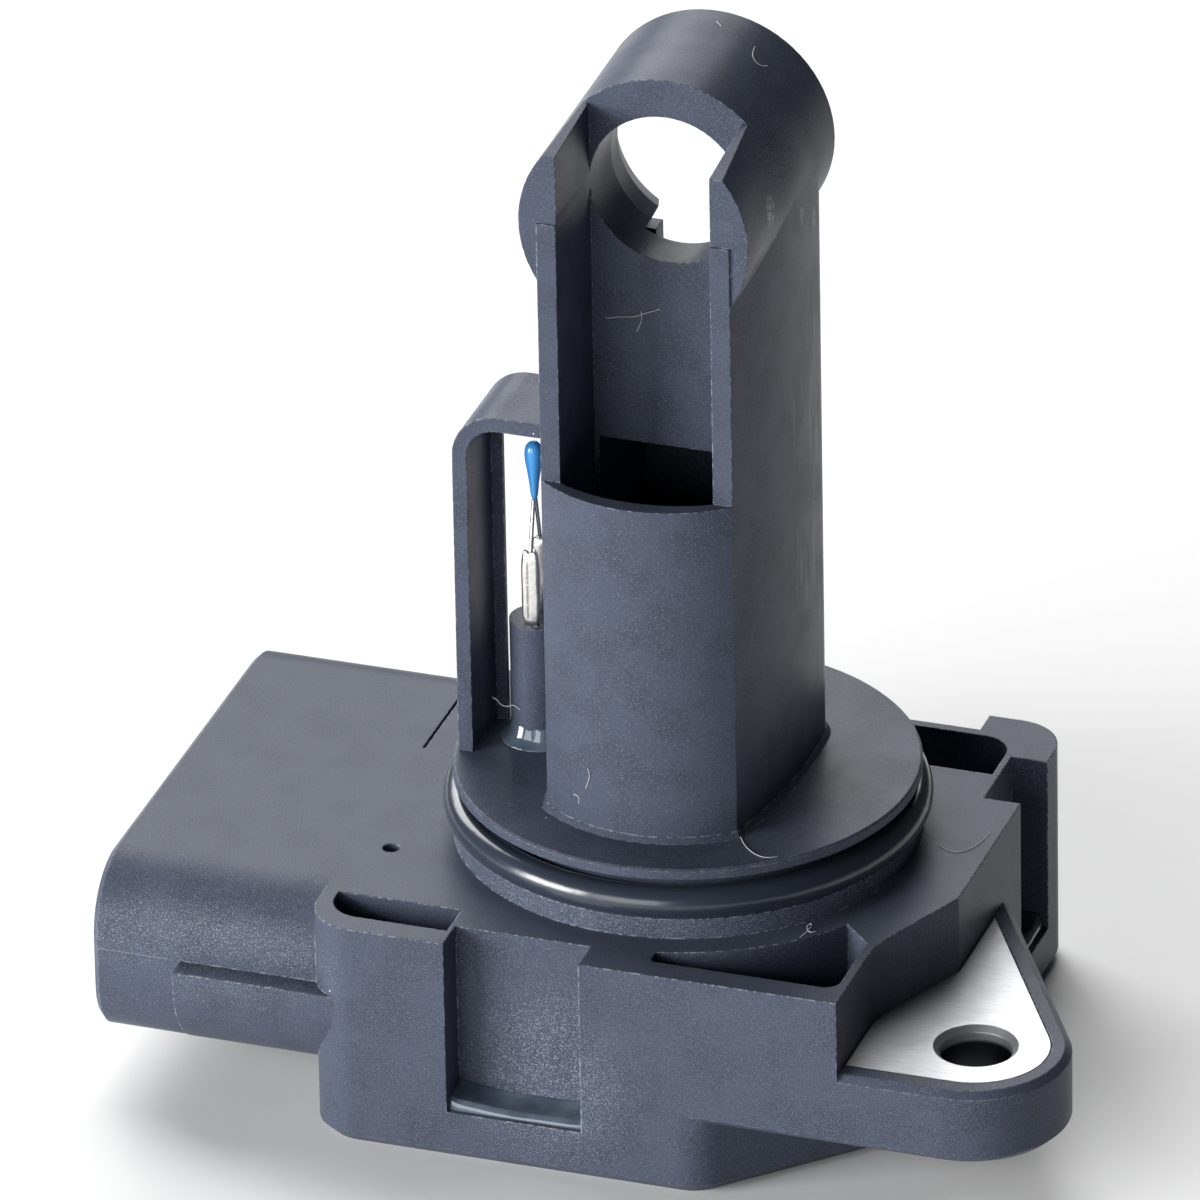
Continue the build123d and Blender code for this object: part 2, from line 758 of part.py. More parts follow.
# Connector pins: a blade in the socket, bent down onto the board
for number in range(pin_count):
    pin_y = (number - (pin_count - 1) / 2) * pin_pitch
    blade_tip = shroud_end + pin_recess
    blade_foot = -socket_centre - pin_thickness / 2
    with BuildPart() as connector_pin:
        with BuildSketch(Plane.XZ.offset(-pin_y - pin_width / 2)) as blade_side:
            Polygon(
                (blade_tip, blade_foot),
                (pin_foot_x, blade_foot),
                (pin_foot_x, board_top),
                (pin_foot_x + pin_thickness, board_top),
                (pin_foot_x + pin_thickness, blade_foot + pin_thickness),
                (blade_tip, blade_foot + pin_thickness),
                align=None,
            )
            bend = blade_side.vertices().sort_by(lambda corner: corner.X + corner.Y)[-1]
            fillet(bend, radius=pin_thickness)
        extrude(amount=pin_width)
        tip_edges = connector_pin.faces().sort_by(Axis.X)[0].edges()
        chamfer(tip_edges, length=pin_chamfer)
    connector_pin.part.label = f"connector_pin_{number + 1}"
    export_step(connector_pin.part, f"parts/connector_pin_{number + 1}.step")

# Pins that carry the two elements, standing on the board
for number, (place_x, place_y) in enumerate(element_pin_places):
    pin_top = hot_element_height if place_y == -hot_element_y else cold_element_height
    with BuildPart() as element_pin:
        with BuildSketch(Plane.XY.offset(board_top)):
            with Locations((place_x, place_y)):
                Rectangle(element_pin_side, element_pin_side)
        extrude(amount=pin_top - board_top)
    element_pin.part.label = f"element_pin_{number + 1}"
    export_step(element_pin.part, f"parts/element_pin_{number + 1}.step")

# Heated and reference elements: a coated barrel on a wire that rests on its pins
for name, element_y, height in (
    ("hot_wire_element", -hot_element_y, hot_element_height),
    ("cold_wire_element", -cold_element_y, cold_element_height),
):
    with BuildPart() as element:
        with Locations((0, element_y, height + element_lead_radius)):
            Cylinder(element_radius, element_length, rotation=(0, 90, 0))
            Box(element_span + element_pin_side, 2 * element_lead_radius, 2 * element_lead_radius)
    element.part.label = name
    export_step(element.part, f"parts/{name}.step")

# Air thermistor: holder with a flange under the stem
with BuildPart() as thermistor_holder:
    with BuildSketch(Plane.XY.offset(-stem_depth)):
        with Locations((-holder_x, 0)):
            Circle(holder_radius)
    extrude(amount=stem_depth + holder_top)
    with BuildSketch(Plane.XY.offset(-stem_depth)):
        with Locations((-holder_x, 0)):
            Circle(holder_flange_radius)
    extrude(amount=-holder_flange_thickness)
    with BuildSketch(Plane.XY.offset(-stem_depth - holder_flange_thickness)):
        with Locations((-holder_x, -terminal_spread), (-holder_x, terminal_spread)):
            Rectangle(terminal_width + 2 * pin_clearance, terminal_thickness + 2 * pin_clearance)
    extrude(amount=stem_depth + holder_flange_thickness + holder_top, mode=Mode.SUBTRACT)

thermistor_holder.part.label = "thermistor_holder"
export_step(thermistor_holder.part, "parts/thermistor_holder.step")

# Terminals standing on the board, and the leads that lean in from them to the bead
for number, side in enumerate((-1, 1)):
    with BuildPart() as terminal:
        with BuildSketch(Plane.XY.offset(board_top)):
            with Locations((-holder_x, side * terminal_spread)):
                Rectangle(terminal_width, terminal_thickness)
        extrude(amount=terminal_top - board_top)
    terminal.part.label = f"thermistor_terminal_{number + 1}"
    export_step(terminal.part, f"parts/thermistor_terminal_{number + 1}.step")

    with BuildPart() as lead:
        with BuildSketch(Plane.XY.offset(terminal_top)):
            with Locations((-holder_x, side * terminal_spread)):
                Circle(lead_radius)
        with BuildSketch(Plane.XY.offset(bead_base)):
            with Locations((-holder_x, side * lead_spread)):
                Circle(lead_radius)
        loft()
    lead.part.label = f"thermistor_lead_{number + 1}"
    export_step(lead.part, f"parts/thermistor_lead_{number + 1}.step")

# Glass bead of the thermistor, a drop that is widest near its top
with BuildPart() as thermistor_bead:
    with BuildSketch(Plane.XZ):
        Polygon(
            (-holder_x, bead_base),
            (-holder_x + bead_base_radius, bead_base),
            (-holder_x + bead_radius, bead_top - bead_radius),
            (-holder_x + bead_cap_radius, bead_top - bead_cap_drop),
            (-holder_x, bead_top),
            align=None,
        )
    revolve(axis=Axis((-holder_x, 0, 0), (0, 0, 1)))

thermistor_bead.part.label = "thermistor_bead"
export_step(thermistor_bead.part, "parts/thermistor_bead.step")

# Sealant round the holder's foot, between the disc and the column
with BuildPart() as holder_sealant:
    with BuildSketch(Plane.XZ):
        Polygon(
            (-holder_x + holder_radius, spigot_height),
            (-holder_x + holder_bead_radius, spigot_height),
            (-holder_x + holder_radius + holder_bead_lip, spigot_height + holder_bead_height),
            (-holder_x + holder_radius, spigot_height + holder_bead_height),
            align=None,
        )
    revolve(axis=Axis((-holder_x, 0, 0), (0, 0, 1)))
    add(bypass_probe.part, mode=Mode.SUBTRACT)

holder_sealant.part.label = "holder_sealant"
export_step(holder_sealant.part, "parts/holder_sealant.step")

# Sealant on the ledges of the front and side recesses
with BuildPart() as front_recess_sealant:
    with BuildSketch(Plane.XZ.offset(half_y - front_recess_depth)):
        with BuildLine():
            bead_left = -front_recess_left
            bead_right = -front_recess_right
            bead_middle = (bead_left + bead_right) / 2
            ThreePointArc(
                (bead_left, -recess_ledge + recess_bead_height),
                (bead_middle, -recess_ledge + recess_bead_dip),
                (bead_right, -recess_ledge + recess_bead_height),
            )
            Polyline(
                (bead_right, -recess_ledge + recess_bead_height),
                (bead_right, -recess_ledge),
                (bead_left, -recess_ledge),
                (bead_left, -recess_ledge + recess_bead_height),
            )
        make_face()
    extrude(amount=recess_bead_width)

front_recess_sealant.part.label = "front_recess_sealant"
export_step(front_recess_sealant.part, "parts/front_recess_sealant.step")

with BuildPart() as side_recess_sealant:
    with BuildSketch(Plane.XZ.offset(-side_recess_far)):
        bead_wall = half_x - side_recess_depth
        Polygon(
            (bead_wall, -recess_ledge),
            (bead_wall + recess_bead_width, -recess_ledge),
            (bead_wall + recess_bead_width, -recess_ledge + recess_bead_dip),
            (bead_wall + recess_bead_dip, -recess_ledge + side_bead_height),
            (bead_wall, -recess_ledge + side_bead_height),
            align=None,
        )
    extrude(amount=side_recess_far - side_recess_near)

side_recess_sealant.part.label = "side_recess_sealant"
export_step(side_recess_sealant.part, "parts/side_recess_sealant.step")
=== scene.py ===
# %% [markdown]
# A mass airflow sensor, dressed for its portrait.
#
# The solid model gives every piece its shape and place. This script leaves those solids where they are
# and gives each one the finish of the real part. The few pieces whose surface is softer than a solid
# modeller draws it, the seal ring, the poured sealant and the glass bead, are modelled again in Blender,
# and two things that the solid model leaves out, solder and lint, are added.

# %% Load the solid model
from math import cos, exp, hypot, pi, radians, sin

import bmesh
import bpy
from mathutils import Matrix, Vector, noise


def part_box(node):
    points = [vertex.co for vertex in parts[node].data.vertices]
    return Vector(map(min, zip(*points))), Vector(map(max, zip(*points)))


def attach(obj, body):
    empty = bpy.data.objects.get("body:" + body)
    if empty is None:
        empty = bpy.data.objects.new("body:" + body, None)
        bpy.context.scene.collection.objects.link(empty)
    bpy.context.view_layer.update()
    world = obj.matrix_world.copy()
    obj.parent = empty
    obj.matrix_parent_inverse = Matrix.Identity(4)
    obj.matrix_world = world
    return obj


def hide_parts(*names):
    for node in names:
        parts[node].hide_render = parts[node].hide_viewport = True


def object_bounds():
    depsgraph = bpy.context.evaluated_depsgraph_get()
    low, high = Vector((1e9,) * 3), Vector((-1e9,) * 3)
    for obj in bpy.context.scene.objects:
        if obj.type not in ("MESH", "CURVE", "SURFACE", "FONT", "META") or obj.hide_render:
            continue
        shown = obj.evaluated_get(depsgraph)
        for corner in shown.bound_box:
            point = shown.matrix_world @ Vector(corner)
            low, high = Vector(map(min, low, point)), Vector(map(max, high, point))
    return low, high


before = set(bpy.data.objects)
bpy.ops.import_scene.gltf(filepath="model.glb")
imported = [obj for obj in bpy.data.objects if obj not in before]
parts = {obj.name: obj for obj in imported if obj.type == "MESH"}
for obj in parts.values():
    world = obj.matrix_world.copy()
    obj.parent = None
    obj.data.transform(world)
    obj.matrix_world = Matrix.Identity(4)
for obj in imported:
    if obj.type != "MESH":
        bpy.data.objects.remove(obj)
solid_box = [list(corner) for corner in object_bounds()]
MM = 0.001
print("pieces in the solid model:", len(parts))

# %% [markdown]
# Every finish here is procedural: it is a small network of nodes that works out colour, gloss and relief
# from where a point lies on the piece. Networks are easier to read as sums, so a thin wrapper lets a
# socket stand in an ordinary Python expression, and one method adds any other node.

# %% Write shader networks as expressions
class Wire:
    """A socket of a shader network that can stand in an expression."""

    def __init__(self, finish, socket):
        self.finish = finish
        self.socket = socket

    def maths(self, operation, *others):
        return self.finish.node("ShaderNodeMath", {"operation": operation}, dict(enumerate((self, *others))))

    def __add__(self, other):
        return self.maths("ADD", other)

    def __sub__(self, other):
        return self.maths("SUBTRACT", other)

    def __rsub__(self, other):
        return self * -1 + other

    def __mul__(self, other):
        return self.maths("MULTIPLY", other)

    def __abs__(self):
        return self.maths("ABSOLUTE")

    __radd__ = __add__
    __rmul__ = __mul__

    def high(self, other):
        return self.maths("MAXIMUM", other)

    def between(self, start, end):
        """0 at start and 1 at end, with a soft step from one to the other."""
        settings = {"interpolation_type": "SMOOTHSTEP"}
        limits = {"Value": self, "From Min": start, "From Max": end}
        return self.finish.node("ShaderNodeMapRange", settings, limits)


# %% [markdown]
# A finish is one material with a principled surface. Its methods are the few patterns that this part
# needs: cloudy grain, scattered flecks, a mask round a point, and the pale line that a mould's edge leaves.
# The Bevel node gives the normal of a slightly rounded edge without any change to the solid, and the angle
# between that normal and the flat one finds the edges themselves.

# %% Make a finish
class Finish:
    """A material with one principled surface, and the nodes that feed it."""

    def __init__(self, name, colour, roughness, metallic=0.0, **constants):
        self.material = bpy.data.materials.new(name)
        self.material.use_nodes = True
        self.tree = self.material.node_tree
        self.surface = self.tree.nodes["Principled BSDF"]
        self.set(**{"Base Color": (*colour, 1.0), "Roughness": roughness, "Metallic": metallic})
        self.set(**constants)

    def node(self, kind, settings=None, values=None, output=0):
        """Adds a node: its settings first, then the values or wires of its sockets."""
        node = self.tree.nodes.new(kind)
        for name, value in (settings or {}).items():
            setattr(node, name, value)
        for name, value in (values or {}).items():
            if isinstance(value, Wire):
                self.tree.links.new(value.socket, node.inputs[name])
            else:
                node.inputs[name].default_value = value
        return Wire(self, node.outputs[output])

    def set(self, **values):
        """Sets sockets of the surface to values or wires."""
        for name, value in values.items():
            if isinstance(value, Wire):
                self.tree.links.new(value.socket, self.surface.inputs[name])
            else:
                self.surface.inputs[name].default_value = value

    def place(self):
        """Where a point lies, in metres."""
        return self.node("ShaderNodeTexCoord", output="Object")

    def axes(self):
        """The point's three coordinates in millimetres."""
        split = self.node("ShaderNodeSeparateXYZ", values={0: self.place()}).socket.node
        return [Wire(self, split.outputs[name]) * 1000 for name in "XYZ"]

    def grain(self, size, detail=2.0, stretch=(1, 1, 1)):
        """Noise with grains of about this size in millimetres."""
        scaled = self.node("ShaderNodeMapping", values={"Vector": self.place(), "Scale": stretch})
        values = {"Vector": scaled, "Scale": 1 / (size * MM), "Detail": detail}
        return self.node("ShaderNodeTexNoise", values=values)

    def flecks(self, spacing, radius):
        """Round dots of this radius, scattered about this far apart, in millimetres."""
        values = {"Vector": self.place(), "Scale": 1 / (spacing * MM)}
        distance = self.node("ShaderNodeTexVoronoi", {"feature": "F1"}, values, "Distance")
        return 1 - distance.between(0.5 * radius / spacing, radius / spacing)

    def near(self, centre, radius, soft=0.3, squeeze=(1, 1, 1)):
        """Mask of a ball round a point: 1 inside, fading to 0 at its radius, in millimetres."""
        middle = tuple(-value * MM * factor for value, factor in zip(centre, squeeze))
        moved = self.node(
            "ShaderNodeMapping", values={"Vector": self.place(), "Location": middle, "Scale": squeeze}
        )
        length = self.node("ShaderNodeVectorMath", {"operation": "LENGTH"}, {0: moved}, "Value")
        return 1 - length.between(radius * (1 - soft) * MM, radius * MM)

    def blend(self, factor, first, second):
        """Mixes two colours by a factor."""
        values = {"Factor": factor, 6: first, 7: second}
        values = {key: (*v, 1.0) if isinstance(v, tuple) else v for key, v in values.items()}
        return self.node("ShaderNodeMix", {"data_type": "RGBA"}, values, 2)

    def rounded_edges(self, radius):
        """Shading normal of edges worn round by this radius in millimetres."""
        return self.node("ShaderNodeBevel", {"samples": 6}, {"Radius": radius * MM})

    def edge_mask(self, soft_normal):
        """How far the rounded normal turns away from the flat one: 0 on a face, more at an edge."""
        flat = self.node("ShaderNodeNewGeometry", output="Normal")
        settings = {"operation": "DOT_PRODUCT"}
        return 1 - self.node("ShaderNodeVectorMath", settings, {0: soft_normal, 1: flat}, "Value")

    def relief(self, height, depth, normal=None):
        """Surface relief: height from 0 to 1, that stands up by depth in millimetres."""
        values = {"Height": height, "Distance": depth * MM, "Strength": 1.0}
        if normal:
            values["Normal"] = normal
        self.set(Normal=self.node("ShaderNodeBump", values=values))

    def paint(self, *pieces):
        for piece in pieces:
            piece.data.materials.clear()
            piece.data.materials.append(self.material)


# %% [markdown]
# The housing is moulded from a dark, blue-grey plastic that seems to be filled with short glass fibres.
# Pale specks in its colour are painted glints of that texture, most of all on the front wall, round the
# boss under the seal and on the shroud's rounded side, where they paint a sheen. Its edges carry a broken
# pale line, as flash and wear leave one, and a fainter line runs where the mould's halves met. All of
# that goes into the colour, and the fine texture of the mould into the relief.

# %% Finish of the housing
slate = (0.052, 0.061, 0.09)
pale_glint_and_mark = (0.34, 0.38, 0.46)
dust_grey = (0.62, 0.64, 0.68)
flash_white = (0.5, 0.54, 0.6)

mould_gloss = 0.12
parting_level = -4.72
ledge_start = -26.4

housing_plastic = Finish("housing plastic", slate, 0.42, **{"Specular IOR Level": mould_gloss})
x, y, z = housing_plastic.axes()
soft = housing_plastic.rounded_edges(0.15)
edge = housing_plastic.edge_mask(soft).between(0.02, 0.12)
cloud = housing_plastic.grain(3.4, 3).between(0.42, 0.62)
speckle = housing_plastic.grain(0.065, 1)
front_patch = housing_plastic.near((-2.5, -16.5, -8.5), 7.0, 0.7)
# Band along the shroud's rounded side, where more pale specks paint a sheen.
shroud_sheen_band = housing_plastic.near((-24.0, -15.8, -3.6), 6.0, 0.6, (0.5, 1, 1.6))
boss_wall = z.between(0.0, 0.12)
rich = (front_patch * 0.8).high(shroud_sheen_band * 0.55).high(boss_wall * 0.6).high(cloud * 0.12)
# Pale specks are painted glints; the higher the mask above, the more of them.
glint_specks = speckle.between(0.5, 0.72) * (rich * 0.5 + 0.17)
flash = edge * housing_plastic.grain(0.3, 3).between(0.47, 0.6)
dust = housing_plastic.flecks(2.6, 0.075) * housing_plastic.grain(5).between(0.48, 0.58)
parting = (1 - abs(z - parting_level).between(0.0, 0.05)) * (1 - x.between(ledge_start, ledge_start + 0.2))
colour = housing_plastic.blend(cloud * 0.6, slate, (0.038, 0.045, 0.066))
colour = housing_plastic.blend(glint_specks, colour, pale_glint_and_mark)
colour = housing_plastic.blend(parting * 0.25, colour, pale_glint_and_mark)
colour = housing_plastic.blend(flash * 0.5, colour, flash_white)
colour = housing_plastic.blend(dust * 0.85, colour, dust_grey)
housing_plastic.set(**{"Base Color": colour, "Roughness": 0.38 + rich * 0.12})
housing_plastic.relief(speckle * (0.3 + rich * 0.7), 0.012, soft)
housing_plastic.paint(parts["housing"], parts["bottom_cover"])
print("nodes in the housing's finish:", len(housing_plastic.tree.nodes))

# %% [markdown]
# The probe has the same colour and a smoother surface. It shows fewer painted glint specks and reflects
# more clearly. A painted pale sheen runs down the right side of the column, the ring's right flank is
# rougher and darkened by painted shade, and three small marks lie where the ring meets the column.

# %% Finish of the probe
probe_plastic = Finish("probe plastic", slate, 0.36, **{"Specular IOR Level": mould_gloss})
soft = probe_plastic.rounded_edges(0.12)
edge = probe_plastic.edge_mask(soft).between(0.02, 0.12)
speckle = probe_plastic.grain(0.08, 1)
cloud = probe_plastic.grain(2.6, 3).between(0.4, 0.65)
# The ring's right flank is rougher, and painted shade darkens it.
dull_shaded_flank = probe_plastic.near((6.4, -1.5, 44.5), 4.5, 0.8)
# Pale vertical streaks on the column's right side, a painted sheen.
column_sheen = probe_plastic.grain(0.5, 3, (1, 1, 0.1)).between(0.52, 0.75)
column_sheen = column_sheen * probe_plastic.near((6.7, 4.2, 22.0), 7.0, 0.7, (1, 1, 0.5))
upright_oval = (1, 1, 0.6)
marks = probe_plastic.near((6.83, -4.0, 42.4), 0.75, 0.5, upright_oval)
marks = marks.high(probe_plastic.near((6.56, 1.23, 39.63), 0.6, 0.5, upright_oval))
marks = marks.high(probe_plastic.near((6.8, 3.5, 38.4), 0.55, 0.5, upright_oval))
marks = marks * probe_plastic.grain(0.3, 2).between(0.38, 0.6)
# Painted glint specks, with more of them on the ring's shaded flank.
glint_specks = speckle.between(0.52, 0.74) * (cloud * 0.06 + dull_shaded_flank * 0.2 + 0.14)
flash = edge * probe_plastic.grain(0.35, 3).between(0.48, 0.6)
dust = probe_plastic.flecks(3, 0.075) * probe_plastic.grain(6).between(0.47, 0.58)
# Darker in random clouds, and in painted shade on the ring's right flank.
colour = probe_plastic.blend(cloud * 0.5 + dull_shaded_flank * 0.5, slate, (0.034, 0.04, 0.058))
colour = probe_plastic.blend(glint_specks, colour, pale_glint_and_mark)
# The painted sheen down the column's side, and the three pale marks.
colour = probe_plastic.blend(column_sheen * 0.35 + marks * 0.6, colour, pale_glint_and_mark)
colour = probe_plastic.blend(flash * 0.45, colour, flash_white)
colour = probe_plastic.blend(dust * 0.85, colour, dust_grey)
probe_plastic.set(**{"Base Color": colour, "Roughness": 0.34 + dull_shaded_flank * 0.16 + cloud * 0.05})
probe_plastic.relief(speckle * (0.5 + dull_shaded_flank * 0.5), 0.008, soft)
probe_plastic.paint(parts["bypass_probe"], parts["thermistor_holder"])
print("nodes in the probe's finish:", len(probe_plastic.tree.nodes))

# %% [markdown]
# The plates in the screw lugs are stamped from bright metal. Fine brushing runs along them, and handling
# has dulled them in soft patches. Below the stamped rim, the hole's wall is dull and dark with residue.

# %% Finish of the metal plates
rim_foot = -5.45
residue_top = -5.75

plate_metal = Finish("stamped plate", (0.55, 0.56, 0.58), 0.36, 1.0)
x, y, z = plate_metal.axes()
brushing = plate_metal.grain(0.05, 2, (0.05, 1, 1))
patches = plate_metal.grain(2.5, 3).between(0.35, 0.7)
deep = 1 - z.between(residue_top, rim_foot)
colour = plate_metal.blend(brushing.between(0.35, 0.7) * 0.6, (0.6, 0.6, 0.62), (0.42, 0.43, 0.46))
colour = plate_metal.blend(patches * 0.5, colour, (0.45, 0.46, 0.49))
colour = plate_metal.blend(deep * 0.93, colour, (0.03, 0.032, 0.036))
plate_metal.set(**{"Base Color": colour, "Roughness": 0.4 + brushing * 0.2 - deep * 0.2})
plate_metal.relief(brushing, 0.003, plate_metal.rounded_edges(0.08))
plate_metal.paint(parts["front_lug_plate"], parts["rear_lug_plate"])

# %% [markdown]
# The small parts have plainer finishes. The sealant is a clear grey-blue resin that lets the dark plastic
# through, so it is nearly as dark as the plastic and shows mostly as bright reflections.

# %% Finishes of the small parts
seal_rubber = Finish("seal rubber", (0.024, 0.03, 0.044), 0.22, **{"Specular IOR Level": 0.6})
seal_rubber.relief(seal_rubber.grain(1.6, 3), 0.03)
sealant = Finish("sealant", (0.045, 0.058, 0.075), 0.08, **{"Coat Weight": 0.6, "Coat Roughness": 0.04})
# Paler clouds in the sealant's colour are a painted reflection, in the tone of its highlights.
sealant.set(**{"Base Color": sealant.blend(
    sealant.grain(1.8, 2).between(0.35, 0.7), (0.05, 0.068, 0.094), (0.085, 0.11, 0.145)
)})
bead_coating = Finish("bead coating", (0.04, 0.26, 0.62), 0.1, **{"Coat Weight": 0.6, "Coat Roughness": 0.05})
tinned_metal = Finish("tinned metal", (0.74, 0.72, 0.68), 0.24, 1.0)
solder = Finish("solder", (0.74, 0.73, 0.7), 0.3, 1.0)
element_coating = Finish("element coating", (0.5, 0.48, 0.42), 0.3)
board_laminate = Finish("board laminate", (0.03, 0.2, 0.09), 0.35)
chip_plastic = Finish("chip plastic", (0.03, 0.03, 0.032), 0.5)
capacitor_body = Finish("capacitor body", (0.45, 0.36, 0.25), 0.45)
lint = Finish("lint", (0.5, 0.5, 0.52), 0.6)

sealant.paint(*(part for name, part in parts.items() if name.endswith("sealant")))
tinned_metal.relief(tinned_metal.grain(0.4, 2), 0.01)
tinned_metal.paint(
    *(part for name, part in parts.items() if "pin_" in name or "lead_" in name or "terminal_" in name)
)
element_coating.paint(parts["hot_wire_element"], parts["cold_wire_element"])
board_laminate.paint(parts["circuit_board"])
chip_plastic.paint(parts["control_chip"])
capacitor_body.paint(*(part for name, part in parts.items() if name.startswith("capacitor")))

holder_x = -9.0
groove_x = -9.12
x, y, z = solder.axes()
groove = 1 - abs(x - groove_x).between(0.03, 0.1)
groove = groove * (1 - z.between(16.0, 16.4)) * z.between(12.4, 12.7)
groove = groove * solder.grain(0.3, 2).between(0.3, 0.5)
solder.set(**{"Base Color": solder.blend(groove * 0.7, (0.76, 0.75, 0.73), (0.2, 0.14, 0.1))})
solder.relief(solder.grain(0.5, 2), 0.04)

# %% [markdown]
# Some pieces are softer than the solids, so they are modelled again here. Each starts as an editable mesh,
# becomes an object at the origin, and then rides on the part. Two helpers do what several of them share.

# %% Turn a profile, and finish a piece
def turned(profile, centre=(0, 0), steps=96):
    """A profile of (radius, height) points in millimetres, spun round an upright axis."""
    mesh = bmesh.new()
    middle = Vector((*centre, 0)) * MM
    corners = [mesh.verts.new(middle + Vector((radius, 0, height)) * MM) for radius, height in profile]
    edges = [mesh.edges.new(pair) for pair in zip(corners, corners[1:])]
    bmesh.ops.spin(
        mesh, geom=corners + edges, cent=middle, axis=(0, 0, 1), angle=2 * pi, steps=steps, use_merge=True
    )
    bmesh.ops.remove_doubles(mesh, verts=mesh.verts, dist=0.001 * MM)
    return mesh


def finished(name, mesh, finish, nodes=(), subdivide=0):
    """Makes the mesh a smooth piece that rides on the part and stands for these solids."""
    bmesh.ops.recalc_face_normals(mesh, faces=mesh.faces)
    data = bpy.data.meshes.new(name)
    mesh.to_mesh(data)
    mesh.free()
    data.shade_smooth()
    piece = bpy.data.objects.new(name, data)
    bpy.context.scene.collection.objects.link(piece)
    if subdivide:
        softener = piece.modifiers.new("soften", "SUBSURF")
        softener.levels = softener.render_levels = subdivide
    finish.paint(piece)
    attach(piece, "root")
    if nodes:
        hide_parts(*nodes)
    print(name, "faces:", len(data.polygons))


# %% [markdown]
# The seal is a round ring of oiled rubber. A circle swept round the spigot's axis gives it a clean
# highlight, where the mesh of the solid has only eight flats round its section.

# %% Seal ring
seal_low, seal_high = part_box("seal_ring")
seal_radius = (seal_high[2] - seal_low[2]) / 2
seal_middle = seal_high[0] - seal_radius
seal_mesh = bmesh.new()
section_centre = Matrix.Translation((seal_middle, 0, seal_low[2] + seal_radius))
section_place = section_centre @ Matrix.Rotation(pi / 2, 4, "X")
bmesh.ops.create_circle(seal_mesh, segments=28, radius=seal_radius, matrix=section_place)
bmesh.ops.spin(
    seal_mesh, geom=seal_mesh.verts[:] + seal_mesh.edges[:], cent=(0, 0, 0), axis=(0, 0, 1),
    angle=2 * pi, steps=180, use_merge=True,
)
finished("round_seal", seal_mesh, seal_rubber, ["seal_ring"])

# %% [markdown]
# The thermistor is a bead of glass dipped in blue lacquer. It hangs together as a drop: widest near its
# top, with a long neck where the lacquer ran down the leads. The outline is drawn once and turned.

# %% Thermistor bead
bead_outline = [
    (0.0, 19.75), (0.17, 19.8), (0.24, 20.15), (0.27, 20.6), (0.33, 21.1), (0.42, 21.7), (0.51, 22.2),
    (0.55, 22.65), (0.53, 22.98), (0.44, 23.24), (0.28, 23.42), (0.12, 23.49), (0.0, 23.5),
]
bead_mesh = turned(bead_outline, (holder_x, 0), 32)
finished("lacquered_bead", bead_mesh, bead_coating, ["thermistor_bead"], 1)

# %% [markdown]
# Each terminal ends in a flat paddle that is drowned in solder. A ball squeezed to the paddle's size and
# flattened on its broad sides gives that swollen shape, and the terminal's own blade stays inside it.

# %% Solder on the terminals
terminal_spread = 0.9
paddle_middle = 14.45
paddle_half = Vector((0.56, 0.3, 2.45)) * MM
for number, side in enumerate((-terminal_spread, terminal_spread)):
    solder_mesh = bmesh.new()
    bmesh.ops.create_uvsphere(solder_mesh, u_segments=32, v_segments=24, radius=1)
    for vert in solder_mesh.verts:
        across = hypot(vert.co.x, vert.co.y)
        if across > 0.01:
            flatness = max(abs(vert.co.x), abs(vert.co.y)) / across
            swollen = (1 - abs(vert.co.z) ** 4) ** 0.25 / across / flatness ** 0.6
            vert.co.x, vert.co.y = vert.co.x * swollen, vert.co.y * swollen
        lump = 1 + 0.06 * noise.noise(vert.co * 2.2 + Vector((side * 7, 0, 3)))
        vert.co = Vector((a * b for a, b in zip(vert.co * lump, paddle_half)))
        vert.co += Vector((holder_x, side, paddle_middle)) * MM
    finished(f"solder_{number + 1}", solder_mesh, solder)

# %% [markdown]
# Sealant was poured round the holder's foot and pulled up its side as it set. Its outline is a hollow
# curve, turned like the bead, and smooth noise then makes one side thicker than the other.

# %% Sealant round the holder
disc_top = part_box("holder_sealant")[0][2] / MM
foot_outline = [
    (1.55, 0.0), (2.34, 0.0), (2.3, 0.12), (2.08, 0.26), (1.9, 0.5), (1.78, 0.8), (1.7, 1.1), (1.6, 1.28),
]
lumps_per_metre, sags_per_metre = 900, 500
lump_height, sag_depth = 0.16, 0.25
foot_mesh = turned([(r, disc_top + h) for r, h in foot_outline], (holder_x, 0), 72)
for vert in foot_mesh.verts:
    out = Vector((vert.co.x - holder_x * MM, vert.co.y, 0))
    lift = vert.co.z / MM - disc_top
    if lift > 0.01:
        swell = noise.noise(Vector((vert.co.x, vert.co.y, vert.co.z)) * lumps_per_metre)
        vert.co += out.normalized() * MM * lump_height * swell * min(1, lift * 3)
        vert.co.z -= MM * sag_depth * min(1, lift) * (0.5 + 0.5 * noise.noise(out * sags_per_metre))
finished("holder_pour", foot_mesh, sealant, ["holder_sealant"], 1)

# %% [markdown]
# In the two wall recesses the sealant lies as a shallow pool that climbs the walls round it. A fine grid
# covers the recess's ledge, an extrusion gives it a body, and each raised vertex is lifted by its
# distance from the walls.

